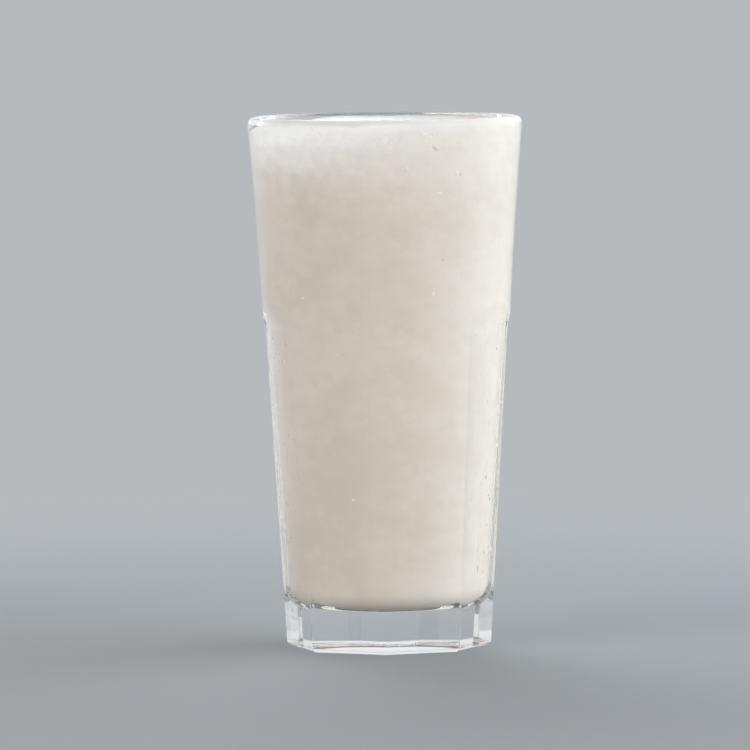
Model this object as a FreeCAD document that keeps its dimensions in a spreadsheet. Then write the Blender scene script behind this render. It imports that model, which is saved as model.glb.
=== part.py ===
"""A coconut limeade in its tall panelled tumbler.

Three solids share one vertical axis: the pressed glass, the cloudy drink that
fills it, and the frothy head on the drink.  The origin is the middle of the
foot, on the surface that the glass stands on, and +Z is up.  Millimetres.

The glass is round above and has flat panels below.  A blank is revolved, one
panel is milled out of it and patterned around the axis, and the sharp edges
that a mould never leaves are then rounded.
"""
import FreeCAD, Part
import math
import os
import Sketcher

# Every size that can be chosen by itself: alias, value, what it is.
SIZES = [
    ("GlassHeight", 161.2, "foot to the top of the lip"),
    ("RimDiameter", 83.6, "outside, at the top, before the lip is rounded"),
    ("ShoulderDiameter", 74.6, "outside of the round part, level with the top of the flat panels"),
    ("WallBow", 0.3, "how far the round wall bows in between there and the lip, so that it flares"),
    ("PanelCount", 8, "flat panels around the glass"),
    ("PanelHeight", 95.2, "height where the flat of a panel ends and its cove begins"),
    ("CornerInset", 0.5, "how far the corners between panels lie inside the round wall, there"),
    ("FootDiameter", 62.45, "across the corners between panels, at the foot"),
    ("CoveRadius", 17.0, "curve by which a panel runs out into the round wall"),
    ("EdgeRadius", 1.8, "rounding between neighbouring panels"),
    ("HeelRadius", 1.5, "rounding between the panels and the foot"),
    ("LipOuterRadius", 2.1, "outer rounding of the lip"),
    ("LipInnerRadius", 0.7, "inner rounding of the lip"),
    ("RimWall", 2.85, "wall at the lip"),
    ("PanelWall", 2.2, "thinnest wall, behind the top of a flat panel"),
    ("FootWall", 4.0, "wall behind a panel, level with the floor"),
    ("FloorThickness", 13.0, "solid glass under the drink"),
    ("FloorCornerRadius", 6.0, "inner rounding between the wall and the floor"),
    ("FootRingWidth", 5.0, "flat ring that the glass stands on"),
    ("RecessDepth", 1.0, "hollow of the underside, inside the foot ring"),
    ("FillGap", 3.5, "lip to where the froth meets the wall"),
    ("HeadDepth", 4.0, "froth at the wall"),
    ("MeniscusRise", 1.2, "how far the froth climbs the wall"),
    ("MeniscusWidth", 6.0, "how far from the wall the froth is level"),
    ("StockAllowance", 0.5, "how far the round blank stands outside the corners at the foot"),
]

doc = FreeCAD.newDocument("CoconutLimeade")
sheet = doc.addObject("Spreadsheet::Sheet", "Sizes")
for row, (alias, number, meaning) in enumerate(SIZES, start=1):
    sheet.set(f"A{row}", meaning)
    sheet.set(f"B{row}", str(number))
    sheet.setAlias(f"B{row}", alias)
doc.recompute()

# Places that several pieces share, as expressions over the sheet.
HALF_STEP = "180 deg / Sizes.PanelCount"
SHOULDER_RADIUS = "Sizes.ShoulderDiameter / 2"
RIM_RADIUS = "Sizes.RimDiameter / 2"
FLARE_RADIUS = (
    "((Sizes.GlassHeight - Sizes.PanelHeight)^2"
    " + (Sizes.RimDiameter - Sizes.ShoulderDiameter)^2 / 4)"
    " / (8 * Sizes.WallBow) + Sizes.WallBow / 2"
)
BLANK_FOOT_RADIUS = "Sizes.FootDiameter / 2 + Sizes.StockAllowance"
PANEL_FOOT = f"Sizes.FootDiameter / 2 * cos({HALF_STEP})"
PANEL_TOP = f"({SHOULDER_RADIUS} - Sizes.CornerInset) * cos({HALF_STEP})"
PANEL_SLOPE = f"(({PANEL_TOP}) - ({PANEL_FOOT})) / Sizes.PanelHeight"
RING_INNER_RADIUS = f"{PANEL_FOOT} - Sizes.HeelRadius - Sizes.FootRingWidth"
CAVITY_RIM_RADIUS = f"{RIM_RADIUS} - Sizes.RimWall"
CAVITY_SHOULDER_RADIUS = f"{PANEL_TOP} - Sizes.PanelWall"
CAVITY_FLOOR_RADIUS = f"{PANEL_FOOT} + {PANEL_SLOPE} * Sizes.FloorThickness - Sizes.FootWall"
CAVITY_SLOPE = (
    f"(({CAVITY_RIM_RADIUS}) - ({CAVITY_SHOULDER_RADIUS}))"
    " / (Sizes.GlassHeight - Sizes.PanelHeight)"
)
CONTACT_HEIGHT = "Sizes.GlassHeight - Sizes.FillGap"
SURFACE_HEIGHT = f"{CONTACT_HEIGHT} - Sizes.MeniscusRise"
DRINK_TOP = f"{CONTACT_HEIGHT} - Sizes.HeadDepth"


def cavity_radius(height):
    """Expression for the inner radius at a height above the panels."""
    return f"{CAVITY_SHOULDER_RADIUS} + {CAVITY_SLOPE} * (({height}) - Sizes.PanelHeight)"


def value(expression):
    """The number that an expression over the sheet has now."""
    result = sheet.evalExpression(expression)
    return float(getattr(result, "Value", result))


def origin_feature(body, role):
    """One of a body's own origin planes or axes."""
    return next(f for f in body.Origin.OriginFeatures if f.Role == role)


def section_sketch(body, name):
    """An empty sketch on the body's XZ plane: across is the radius, up is the height."""
    sketch = body.newObject("Sketcher::SketchObject", name)
    sketch.AttachmentSupport = [(origin_feature(body, "XZ_Plane"), "")]
    sketch.MapMode = "FlatFace"
    return sketch


def bind(sketch, kind, geometry, point, expression):
    """Fix one coordinate of a sketch point to an expression; zero lies on the axis."""
    if expression == "0":
        axis = -2 if kind == "DistanceX" else -1
        sketch.addConstraint(Sketcher.Constraint("PointOnObject", geometry, point, axis))
        return
    number = value(expression)
    index = sketch.addConstraint(Sketcher.Constraint(kind, -1, 1, geometry, point, number))
    sketch.setExpression(f"Constraints[{index}]", expression)


def place(sketch, geometry, point, corner):
    """Fix a sketch point to a (radius, height) pair of expressions."""
    bind(sketch, "DistanceX", geometry, point, corner[0])
    bind(sketch, "DistanceY", geometry, point, corner[1])


def vector(corner):
    """Where a (radius, height) pair of expressions lies now."""
    return FreeCAD.Vector(value(corner[0]), value(corner[1]), 0)


def join(sketch, first, first_point, second, second_point):
    """Make an end of one piece of geometry the same point as an end of another."""
    sketch.addConstraint(
        Sketcher.Constraint("Coincident", first, first_point, second, second_point)
    )


def polyline(sketch, corners):
    """Joined lines through corners, each corner fixed; returns their indices.

    Where the last corner is the first one again, the outline is closed.
    """
    lines = []
    for start, end in zip(corners, corners[1:]):
        lines.append(sketch.addGeometry(Part.LineSegment(vector(start), vector(end))))
    for line, corner in zip(lines, corners):
        place(sketch, line, 1, corner)
    for line, following in zip(lines, lines[1:]):
        join(sketch, line, 2, following, 1)
    if corners[-1] == corners[0]:
        join(sketch, lines[-1], 2, lines[0], 1)
    else:
        place(sketch, lines[-1], 2, corners[-1])
    return lines


def arc(sketch, centre, radius, start, end):
    """A counter-clockwise arc, its angles in radians; returns its index."""
    circle = Part.Circle(centre, FreeCAD.Vector(0, 0, 1), radius)
    return sketch.addGeometry(Part.ArcOfCircle(circle, start, end))


def revolve(body, sketch, name):
    """Turn a section all the way around the vertical axis."""
    revolution = body.newObject("PartDesign::Revolution", name)
    revolution.Profile = sketch
    revolution.ReferenceAxis = (sketch, ["V_Axis"])
    revolution.Angle = 360
    sketch.Visibility = False
    doc.recompute()
    return revolution


def round_edges(body, base, name, radius, wanted):
    """Fillet the edges of base that wanted() picks, to a radius in the sheet."""
    names = [f"Edge{i}" for i, edge in enumerate(base.Shape.Edges, start=1) if wanted(edge)]
    print(f"{body.Label}: {name} rounds {len(names)} edges")
    fillet = body.newObject("PartDesign::Fillet", name)
    fillet.Base = (base, names)
    fillet.setExpression("Radius", radius)
    body.Tip = fillet
    doc.recompute()
    return fillet


def is_ring(edge, radius, height):
    """Whether an edge is the full circle around the axis of that radius and height."""
    box = edge.BoundBox
    return (
        edge.isClosed()
        and math.isclose(box.ZMin, value(height), abs_tol=1e-3)
        and math.isclose(box.ZMax, value(height), abs_tol=1e-3)
        and math.isclose(edge.Length, 2 * math.pi * value(radius), rel_tol=1e-4)
    )


def new_body(name):
    body = doc.addObject("PartDesign::Body", name)
    body.Label = name
    return body


def blank_section(body):
    """Half section of the glass before its panels: foot, flared wall, cavity and recess."""
    sketch = section_sketch(body, "GlassSection")
    outside = polyline(sketch, [
        (RING_INNER_RADIUS, "0"),
        (BLANK_FOOT_RADIUS, "0"),
        (SHOULDER_RADIUS, "Sizes.PanelHeight"),
    ])
    inside = polyline(sketch, [
        (RIM_RADIUS, "Sizes.GlassHeight"),
        (CAVITY_RIM_RADIUS, "Sizes.GlassHeight"),
        (CAVITY_SHOULDER_RADIUS, "Sizes.PanelHeight"),
        (CAVITY_FLOOR_RADIUS, "Sizes.FloorThickness"),
        ("0", "Sizes.FloorThickness"),
        ("0", "Sizes.RecessDepth"),
    ])

    # The flared wall: a wide arc whose middle lies inside its chord by the bow.
    shoulder = vector((SHOULDER_RADIUS, "Sizes.PanelHeight"))
    chord = vector((RIM_RADIUS, "Sizes.GlassHeight")) - shoulder
    radius = value(FLARE_RADIUS)
    outward = FreeCAD.Vector(chord.y, -chord.x, 0) / chord.Length
    centre = shoulder + chord / 2 + outward * (radius - value("Sizes.WallBow"))
    lean = math.atan2(outward.y, outward.x) + math.pi
    half_swing = math.asin(chord.Length / 2 / radius)
    flare = arc(sketch, centre, radius, lean - half_swing, lean + half_swing)
    join(sketch, flare, 1, inside[0], 1)
    join(sketch, flare, 2, outside[-1], 2)
    index = sketch.addConstraint(Sketcher.Constraint("Radius", flare, radius))
    sketch.setExpression(f"Constraints[{index}]", FLARE_RADIUS)

    # The recess under the foot: a shallow dome centred on the axis.
    depth = value("Sizes.RecessDepth")
    reach = value(RING_INNER_RADIUS)
    radius = (reach**2 + depth**2) / (2 * depth)
    centre = FreeCAD.Vector(0, depth - radius, 0)
    dome = arc(sketch, centre, radius, math.acos(reach / radius), math.pi / 2)
    join(sketch, dome, 1, outside[0], 1)
    join(sketch, dome, 2, inside[-1], 2)
    sketch.addConstraint(Sketcher.Constraint("PointOnObject", dome, 3, -2))
    return sketch


def panel_section(body):
    """What one panel takes off: outside a leaning flat, then outside its cove."""
    sketch = section_sketch(body, "PanelSection")
    foot = (f"{PANEL_FOOT} - {PANEL_SLOPE} * Sizes.StockAllowance", "-Sizes.StockAllowance")
    top = (PANEL_TOP, "Sizes.PanelHeight")
    lean = math.atan(value(PANEL_SLOPE))
    radius = value("Sizes.CoveRadius")
    centre = vector(top) + FreeCAD.Vector(math.cos(lean), -math.sin(lean), 0) * radius
    cove_end = centre + FreeCAD.Vector(0, radius, 0)
    clear = value(f"{RIM_RADIUS} + Sizes.CoveRadius")
    upper = FreeCAD.Vector(clear, cove_end.y, 0)
    lower = FreeCAD.Vector(clear, vector(foot).y, 0)

    flat = sketch.addGeometry(Part.LineSegment(vector(foot), vector(top)))
    cove = arc(sketch, centre, radius, math.pi / 2, math.pi - lean)
    run_out = sketch.addGeometry(Part.LineSegment(cove_end, upper))
    outside = sketch.addGeometry(Part.LineSegment(upper, lower))
    below = sketch.addGeometry(Part.LineSegment(lower, vector(foot)))

    bind(sketch, "DistanceX", flat, 1, foot[0])
    index = sketch.addConstraint(
        Sketcher.Constraint("DistanceY", flat, 1, -1, 1, value("Sizes.StockAllowance"))
    )
    sketch.setExpression(f"Constraints[{index}]", "Sizes.StockAllowance")
    place(sketch, flat, 2, top)
    sketch.addConstraint(Sketcher.Constraint("Tangent", flat, 2, cove, 2))
    index = sketch.addConstraint(Sketcher.Constraint("Radius", cove, radius))
    sketch.setExpression(f"Constraints[{index}]", "Sizes.CoveRadius")
    sketch.addConstraint(Sketcher.Constraint("Vertical", cove, 3, cove, 1))
    join(sketch, cove, 1, run_out, 1)
    sketch.addConstraint(Sketcher.Constraint("Horizontal", run_out))
    join(sketch, run_out, 2, outside, 1)
    bind(sketch, "DistanceX", outside, 1, f"{RIM_RADIUS} + Sizes.CoveRadius")
    sketch.addConstraint(Sketcher.Constraint("Vertical", outside))
    join(sketch, outside, 2, below, 1)
    sketch.addConstraint(Sketcher.Constraint("Horizontal", below))
    join(sketch, below, 2, flat, 1)
    return sketch


def is_corner_edge(edge):
    """Whether an edge runs up between two neighbouring panels."""
    middle = edge.valueAt((edge.FirstParameter + edge.LastParameter) / 2)
    half_step = math.pi / value("Sizes.PanelCount")
    turn = math.atan2(middle.y, middle.x) / half_step
    rise = edge.BoundBox.ZLength
    outside = math.hypot(middle.x, middle.y) > value(CAVITY_FLOOR_RADIUS)
    on_corner = abs(turn - round(turn)) < 1e-3 and round(turn) % 2 == 1
    return on_corner and outside and rise > value("Sizes.StockAllowance")


def is_heel_edge(edge):
    """Whether an edge lies on the foot plane outside the foot ring."""
    box = edge.BoundBox
    middle = edge.valueAt((edge.FirstParameter + edge.LastParameter) / 2)
    outside = math.hypot(middle.x, middle.y) > value(RING_INNER_RADIUS) + value("Sizes.HeelRadius")
    return box.ZMax < 1e-4 and outside


def make_glass():
    """The panelled tumbler, pressed in one piece with a thick clear foot."""
    body = new_body("glass")
    blank = revolve(body, blank_section(body), "Blank")

    cut_section = panel_section(body)
    panel = body.newObject("PartDesign::Pocket", "Panel")
    panel.Profile = cut_section
    panel.Type = "ThroughAll"
    panel.Midplane = True
    cut_section.Visibility = False
    doc.recompute()
    if panel.Shape.Volume > blank.Shape.Volume - 1.0:
        raise RuntimeError("the panel cut removed nothing")

    panels = body.newObject("PartDesign::PolarPattern", "Panels")
    panels.Originals = [panel]
    panels.Axis = (origin_feature(body, "Z_Axis"), [""])
    panels.Angle = 360
    panels.setExpression("Occurrences", "Sizes.PanelCount")
    body.Tip = panels
    doc.recompute()

    corners = round_edges(body, panels, "PanelCorners", "Sizes.EdgeRadius", is_corner_edge)
    heel = round_edges(body, corners, "Heel", "Sizes.HeelRadius", is_heel_edge)
    lip_outer = round_edges(
        body, heel, "LipOuter", "min(Sizes.LipOuterRadius; 0.74 * Sizes.RimWall)",
        lambda edge: is_ring(edge, RIM_RADIUS, "Sizes.GlassHeight"))
    lip_inner = round_edges(
        body, lip_outer, "LipInner", "min(Sizes.LipInnerRadius; 0.25 * Sizes.RimWall)",
        lambda edge: is_ring(edge, CAVITY_RIM_RADIUS, "Sizes.GlassHeight"))
    round_edges(
        body, lip_inner, "FloorCorner", "Sizes.FloorCornerRadius",
        lambda edge: is_ring(edge, CAVITY_FLOOR_RADIUS, "Sizes.FloorThickness"))

    # The first panel faces +X, and its neighbouring corner is turned to face the front, -Y.
    quarter_turn = FreeCAD.Rotation(FreeCAD.Vector(0, 0, 1), 90)
    body.Placement = FreeCAD.Placement(FreeCAD.Vector(0, 0, 0), quarter_turn)
    body.setExpression(".Placement.Rotation.Angle", f"270 deg - {HALF_STEP}")
    return body


def make_drink():
    """The cloudy limeade, from the rounded floor of the glass up to its froth."""
    body = new_body("limeade")
    sketch = section_sketch(body, "LimeadeSection")
    polyline(sketch, [
        ("0", "Sizes.FloorThickness"),
        (CAVITY_FLOOR_RADIUS, "Sizes.FloorThickness"),
        (CAVITY_SHOULDER_RADIUS, "Sizes.PanelHeight"),
        (cavity_radius(DRINK_TOP), DRINK_TOP),
        ("0", DRINK_TOP),
        ("0", "Sizes.FloorThickness"),
    ])
    liquid = revolve(body, sketch, "Liquid")
    round_edges(
        body, liquid, "LiquidCorner", "Sizes.FloorCornerRadius",
        lambda edge: is_ring(edge, CAVITY_FLOOR_RADIUS, "Sizes.FloorThickness"))
    return body


def make_head():
    """The froth: level in the middle, climbing the wall all round."""
    body = new_body("froth")
    sketch = section_sketch(body, "FrothSection")
    wall_radius = cavity_radius(CONTACT_HEIGHT)
    level_radius = f"{wall_radius} - Sizes.MeniscusWidth"
    lines = polyline(sketch, [
        (level_radius, SURFACE_HEIGHT),
        ("0", SURFACE_HEIGHT),
        ("0", DRINK_TOP),
        (cavity_radius(DRINK_TOP), DRINK_TOP),
        (wall_radius, CONTACT_HEIGHT),
    ])
    rise = value("Sizes.MeniscusRise")
    width = value("Sizes.MeniscusWidth")
    radius = (rise**2 + width**2) / (2 * rise)
    centre = vector((level_radius, SURFACE_HEIGHT)) + FreeCAD.Vector(0, radius, 0)
    swing = math.asin(width / radius)
    climb = arc(sketch, centre, radius, -math.pi / 2, -math.pi / 2 + swing)
    join(sketch, climb, 2, lines[-1], 2)
    join(sketch, climb, 1, lines[0], 1)
    sketch.addConstraint(Sketcher.Constraint("Vertical", climb, 3, climb, 1))
    revolve(body, sketch, "Head")
    return body


bodies = [make_glass(), make_drink(), make_head()]
doc.recompute()

for item in doc.Objects:
    if "Invalid" in item.State or "Error" in item.State:
        raise RuntimeError(f"{item.Label} failed: {item.State}")
    if item.TypeId == "Sketcher::SketchObject" and not item.FullyConstrained:
        raise RuntimeError(f"{item.Label} is not fully constrained")
for body in bodies:
    if body.Shape.isNull() or not body.Shape.isValid() or len(body.Shape.Solids) != 1:
        raise RuntimeError(f"{body.Label} is not one valid solid")

os.makedirs("parts", exist_ok=True)
for body in bodies:
    box = body.Shape.optimalBoundingBox()
    print(f"{body.Label}: {body.Shape.Volume / 1000:.1f} ml,"
          f" {box.XLength:.2f} x {box.YLength:.2f} x {box.ZLength:.2f} mm,"
          f" z {box.ZMin:.2f} to {box.ZMax:.2f}")
    body.Shape.exportStep(f"parts/{body.Label}.step")
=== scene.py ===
# %% [markdown]
# # Coconut limeade in a panelled tumbler
#
# A tall pressed glass, round above and eight-sided below, is filled nearly to the lip with
# cloudy coconut limeade.  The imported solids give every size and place.  This script makes
# what the eye sees: glass with a fire-polished surface, a drink with cream and pulp in it,
# froth with bubbles, and the drops that a cold drink draws out of the air.

import math
import random

import bmesh
import bpy
import numpy as np
from mathutils import Matrix, Vector


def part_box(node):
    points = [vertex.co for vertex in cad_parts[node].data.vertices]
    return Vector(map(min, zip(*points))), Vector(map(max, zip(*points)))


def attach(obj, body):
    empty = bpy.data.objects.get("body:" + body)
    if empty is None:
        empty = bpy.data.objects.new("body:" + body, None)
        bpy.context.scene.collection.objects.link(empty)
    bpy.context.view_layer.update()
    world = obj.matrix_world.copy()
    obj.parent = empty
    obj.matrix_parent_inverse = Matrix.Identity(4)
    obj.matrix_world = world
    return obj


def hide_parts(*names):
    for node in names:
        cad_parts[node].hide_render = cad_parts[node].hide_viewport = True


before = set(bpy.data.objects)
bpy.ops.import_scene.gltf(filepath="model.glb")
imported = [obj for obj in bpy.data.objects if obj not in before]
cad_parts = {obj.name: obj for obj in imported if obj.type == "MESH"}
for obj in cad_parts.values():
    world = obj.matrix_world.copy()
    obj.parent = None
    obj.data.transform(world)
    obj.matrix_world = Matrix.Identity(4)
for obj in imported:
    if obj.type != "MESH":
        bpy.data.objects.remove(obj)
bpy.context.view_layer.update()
print("solid parts:", sorted(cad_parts))

# %% [markdown]
# ## Sizes
#
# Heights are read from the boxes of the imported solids, so the pieces made here land where
# the solids are.  The wall's own shape isn't in a box, so its sizes are named once below,
# in metres.  Everything else is worked out from the two groups.

# %% Heights from the frame
MM = 0.001
glass_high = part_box("glass")[1]
limeade_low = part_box("limeade")[0]
froth_low, froth_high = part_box("froth")

GLASS_HEIGHT = glass_high[2]
FLOOR = limeade_low[2]
FROTH_BOTTOM = froth_low[2]
CONTACT = froth_high[2]
print(f"glass {GLASS_HEIGHT / MM:.1f} mm, floor {FLOOR / MM:.1f} mm, "
      f"froth line {CONTACT / MM:.1f} mm")

# %% Sizes of the pressed glass
PANELS = 8
STEP = 2 * math.pi / PANELS
RIM_RADIUS = 41.8 * MM
SHOULDER_RADIUS = 37.3 * MM
WALL_BOW = 0.3 * MM
PANEL_HEIGHT = 95.2 * MM
PANEL_TOP = 36.8 * MM * math.cos(STEP / 2)
PANEL_FOOT = 31.225 * MM * math.cos(STEP / 2)
COVE_RADIUS = 17.0 * MM
EDGE_RADIUS = 1.8 * MM
HEEL_RADIUS = 1.5 * MM
LIP_OUTER = 2.1 * MM
LIP_INNER = 0.7 * MM
RIM_WALL = 2.85 * MM
PANEL_WALL = 2.2 * MM
FOOT_WALL = 4.0 * MM
FLOOR_CORNER = 6.0 * MM
FOOT_RING = 5.0 * MM
RECESS = 1.0 * MM
MELT = 0.9 * MM
REACH = 0.15 * MM

PANEL_SLOPE = (PANEL_TOP - PANEL_FOOT) / PANEL_HEIGHT
CAVITY_SHOULDER = PANEL_TOP - PANEL_WALL
CAVITY_RIM = RIM_RADIUS - RIM_WALL
CAVITY_FLOOR = PANEL_FOOT + PANEL_SLOPE * FLOOR - FOOT_WALL
RING_INNER = PANEL_FOOT - HEEL_RADIUS - FOOT_RING
print(f"{PANELS} panels, {2 * PANEL_TOP / MM:.1f} mm across at the top and "
      f"{2 * PANEL_FOOT / MM:.1f} mm at the foot")

# %% [markdown]
# ## The shape of the glass as one formula
#
# A pressed tumbler can be modelled with bevels and booleans, but every edge of real glass is
# a soft melt from one surface to the next, and clear glass shows each fault of a mesh as a
# bent reflection.  So the outside is a formula: how far the surface lies from the axis in
# each direction at each height.  The round wall and the eight flats are two such distances,
# and the glass takes the smaller, with a soft corner between them.

# %% The round wall, the flats and the outline
def soft_smaller(first, second, width):
    """The smaller of two distances, rounded off where they differ by less than width."""
    overlap = np.maximum(width - np.abs(first - second), 0) / width
    return np.minimum(first, second) - overlap**2 * width / 4


def round_wall(height):
    along = (height - PANEL_HEIGHT) / (GLASS_HEIGHT - PANEL_HEIGHT)
    chord = SHOULDER_RADIUS + (RIM_RADIUS - SHOULDER_RADIUS) * along
    return chord - 4 * WALL_BOW * along * (1 - along)


def flat_distance(height):
    """Axis to the middle of a panel: a leaning flat that runs out in a cove."""
    above = np.clip(height - PANEL_HEIGHT, 0, 0.95 * COVE_RADIUS)
    cove = COVE_RADIUS - np.sqrt(COVE_RADIUS**2 - above**2)
    return PANEL_FOOT + PANEL_SLOPE * height + cove


def outline(angle, height, inset=0.0):
    """Axis to the outside of the glass; angles run from the front, -Y, towards +X."""
    middle = flat_distance(height) - inset
    edge = max(EDGE_RADIUS - inset, 0.2 * MM)
    off_corner = np.abs((angle + STEP / 2) % STEP - STEP / 2)
    flat = middle / np.cos(STEP / 2 - off_corner)
    centre = (middle - edge) / math.cos(STEP / 2)
    tangent = STEP / 2 - np.arctan(math.tan(STEP / 2) * (middle - edge) / middle)
    inside = np.maximum(edge**2 - (centre * np.sin(off_corner)) ** 2, 0)
    corner = centre * np.cos(off_corner) + np.sqrt(inside)
    panels = np.where(off_corner < tangent, corner, flat)
    return soft_smaller(panels, round_wall(height) - inset, MELT)


def cavity(height):
    """Axis to the inside of the wall, which leans a little more above the panels."""
    below = (CAVITY_SHOULDER - CAVITY_FLOOR) / (PANEL_HEIGHT - FLOOR)
    above = (CAVITY_RIM - CAVITY_SHOULDER) / (GLASS_HEIGHT - PANEL_HEIGHT)
    rise = height - PANEL_HEIGHT
    return CAVITY_SHOULDER - soft_smaller(-below * rise, -above * rise, 0.3 * MM)


print(f"outside at the rim {outline(0.0, GLASS_HEIGHT) / MM:.2f} mm, "
      f"inside at the floor {cavity(FLOOR) / MM:.2f} mm")


# %% [markdown]
# ## Rings into a mesh
#
# Everything here is nearly round, so one helper does most of the work: it takes rings of
# points, each ring as far out and as high as the shape says, and joins them with quads.
# The directions of the points crowd together at the eight corners, where the surface turns
# quickly, and spread out over the flats, where it doesn't turn at all.

# %% Directions around the glass
def panel_directions():
    """Directions around the axis, closest together at the corners between panels."""
    near = np.radians([-1.5, -1.2, -0.9, -0.6, -0.3, 0.0, 0.3, 0.6, 0.9, 1.2, 1.5])
    across = np.linspace(near[-1], STEP + near[0], 26)[1:-1]
    one_panel = np.concatenate([near, across])
    return np.concatenate([one_panel + k * STEP for k in range(PANELS)])


directions = panel_directions()
print(len(directions), "directions around the glass")


# %% The ring helper
def make_piece(name, mesh, sharp_from=None):
    """A smooth-shaded object in the scene, with an edge kept sharp where it turns enough."""
    for polygon in mesh.polygons:
        polygon.use_smooth = True
    if sharp_from:
        mesh.set_sharp_from_angle(angle=math.radians(sharp_from))
    piece = bpy.data.objects.new(name, mesh)
    bpy.context.scene.collection.objects.link(piece)
    print(f"{name}: {len(mesh.polygons)} faces")
    return piece


def mesh_of_rings(name, angles, radii, heights, close_start=True, close_end=True, sharp_from=None):
    """A mesh from rings; radii and heights are (rings, directions)."""
    rings, count = radii.shape
    places = np.stack([radii * np.sin(angles), -radii * np.cos(angles), heights], axis=-1)
    points = places.reshape(-1, 3).tolist()
    here = np.arange(count)
    following = (here + 1) % count
    faces = []
    for ring in range(rings - 1):
        low, high = ring * count, (ring + 1) * count
        quads = np.stack([low + here, low + following, high + following, high + here], axis=-1)
        faces += quads.tolist()
    if close_start:
        points.append([0, 0, float(heights[0].mean())])
        centre = len(points) - 1
        faces += [[centre, int(b), int(a)] for a, b in zip(here, following)]
    if close_end:
        points.append([0, 0, float(heights[-1].mean())])
        centre = len(points) - 1
        last = (rings - 1) * count
        faces += [[centre, int(last + a), int(last + b)] for a, b in zip(here, following)]
    mesh = bpy.data.meshes.new(name)
    mesh.from_pydata(points, [], faces)
    mesh.validate()
    return make_piece(name, mesh, sharp_from)


def same_all_round(profile, angles):
    """A profile of one value a ring, repeated in every direction."""
    return np.repeat(profile[:, None], len(angles), axis=1)


print("made mesh_of_rings, for the drink, the froth, the glass and the cove")


# %% [markdown]
# ## Finishes as sums
#
# A finish is a graph of nodes.  Written node by node it is long and hard to read, so a small
# class wraps an output and lets Python's operators build the Math nodes.  Any other node
# comes from one method, which sets the node's settings first and then its inputs.  Lamps and
# the room have graphs too, so the same helper wraps any graph, and a finish is one kind.

# %% A shader value that Python can do sums with
class Amount:
    """The output of a node; sums on it add Math nodes to the same graph."""

    def __init__(self, graph, socket):
        self.graph = graph
        self.socket = socket

    def calculate(self, operation, first, second, clamp=False):
        settings = {"operation": operation, "use_clamp": clamp}
        return self.graph.node("ShaderNodeMath", settings, {0: first, 1: second})

    def __add__(self, other):
        return self.calculate("ADD", self, other)

    def __sub__(self, other):
        return self.calculate("SUBTRACT", self, other)

    def __rsub__(self, other):
        return self.calculate("SUBTRACT", other, self)

    def __mul__(self, other):
        return self.calculate("MULTIPLY", self, other)

    def __truediv__(self, other):
        return self.calculate("DIVIDE", self, other)

    def __rtruediv__(self, other):
        return self.calculate("DIVIDE", other, self)

    def __pow__(self, other):
        return self.calculate("POWER", self, other)

    def __rpow__(self, other):
        return self.calculate("POWER", other, self)

    __radd__ = __add__
    __rmul__ = __mul__

    def clamped(self):
        return self.calculate("ADD", self, 0.0, clamp=True)


print("made Amount: + - * / and ** on shader values add Math nodes")


# %% A graph, and the one way of adding a node to it
class Graph:
    """The nodes of a finish, a lamp or the room."""

    def __init__(self, tree):
        self.tree = tree
        self.tree.nodes.clear()

    def node(self, kind, settings=None, sockets=None, out=0):
        made = self.tree.nodes.new(kind)
        for name, setting in (settings or {}).items():
            setattr(made, name, setting)
        for name, value in (sockets or {}).items():
            if isinstance(value, Amount):
                self.tree.links.new(value.socket, made.inputs[name])
            else:
                made.inputs[name].default_value = value
        return Amount(self, made.outputs[out] if made.outputs else None)

    def ray(self, kind):
        """1 where the surface is met by this kind of ray, 0 elsewhere."""
        return self.node("ShaderNodeLightPath", out=kind)

    def part(self, vector, axis):
        """The X, Y or Z of a vector."""
        return self.node("ShaderNodeSeparateXYZ", sockets={"Vector": vector}, out=axis)

    def step_up(self, value, low, high):
        """0 at low, 1 at high, and a soft step between."""
        settings = {"interpolation_type": "SMOOTHSTEP"}
        sockets = {"Value": value, "From Min": low, "From Max": high}
        return self.node("ShaderNodeMapRange", settings, sockets)


print("made Graph: the nodes of a finish, a lamp or the room")


# %% A finish, with the nodes that finishes here have in common
class Finish(Graph):
    """The graph of a material."""

    def __init__(self, name):
        self.material = bpy.data.materials.new(name)
        self.material.use_nodes = True
        super().__init__(self.material.node_tree)

    def place(self):
        """Where a point of the surface is, in metres."""
        return self.node("ShaderNodeTexCoord", out="Object")

    def stretched(self, by):
        return self.node(
            "ShaderNodeVectorMath", {"operation": "MULTIPLY"}, {0: self.place(), 1: by})

    def from_axis(self):
        """How far a point is from the axis of the glass."""
        level = self.stretched((1, 1, 0))
        return self.node(
            "ShaderNodeVectorMath", {"operation": "LENGTH"}, {0: level}, out="Value")

    def noise(self, scale, detail=3.0, stretch=(1, 1, 1), roughness=0.5):
        """A soft random value around 0.5, scale to the metre."""
        return self.node("ShaderNodeTexNoise", sockets={
            "Vector": self.stretched(stretch),
            "Scale": scale,
            "Detail": detail,
            "Roughness": roughness,
        })

    def cells(self, scale):
        """Distance to the nearest of many scattered points, as in a crowd of bubbles."""
        sockets = {"Vector": self.place(), "Scale": scale}
        return self.node("ShaderNodeTexVoronoi", {"feature": "F1"}, sockets)

    def blend(self, share, first, second):
        """The first colour where share is 0 and the second where it is 1."""
        sockets = {0: share, 6: first, 7: second}
        return self.node("ShaderNodeMix", {"data_type": "RGBA"}, sockets, out=2)

    def either(self, share, first, second):
        """The first shader where share is 0 and the second where it is 1."""
        return self.node("ShaderNodeMixShader", sockets={0: share, 1: first, 2: second})

    def bump(self, height, depth):
        sockets = {"Height": height, "Strength": 1.0, "Distance": depth}
        return self.node("ShaderNodeBump", sockets=sockets)

    def surface(self, shader):
        self.node("ShaderNodeOutputMaterial", sockets={"Surface": shader})
        print(f"{self.material.name}: {len(self.tree.nodes)} nodes")
        return self.material


print("made Finish: noise, cells, blends and bump, all in metres")


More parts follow.
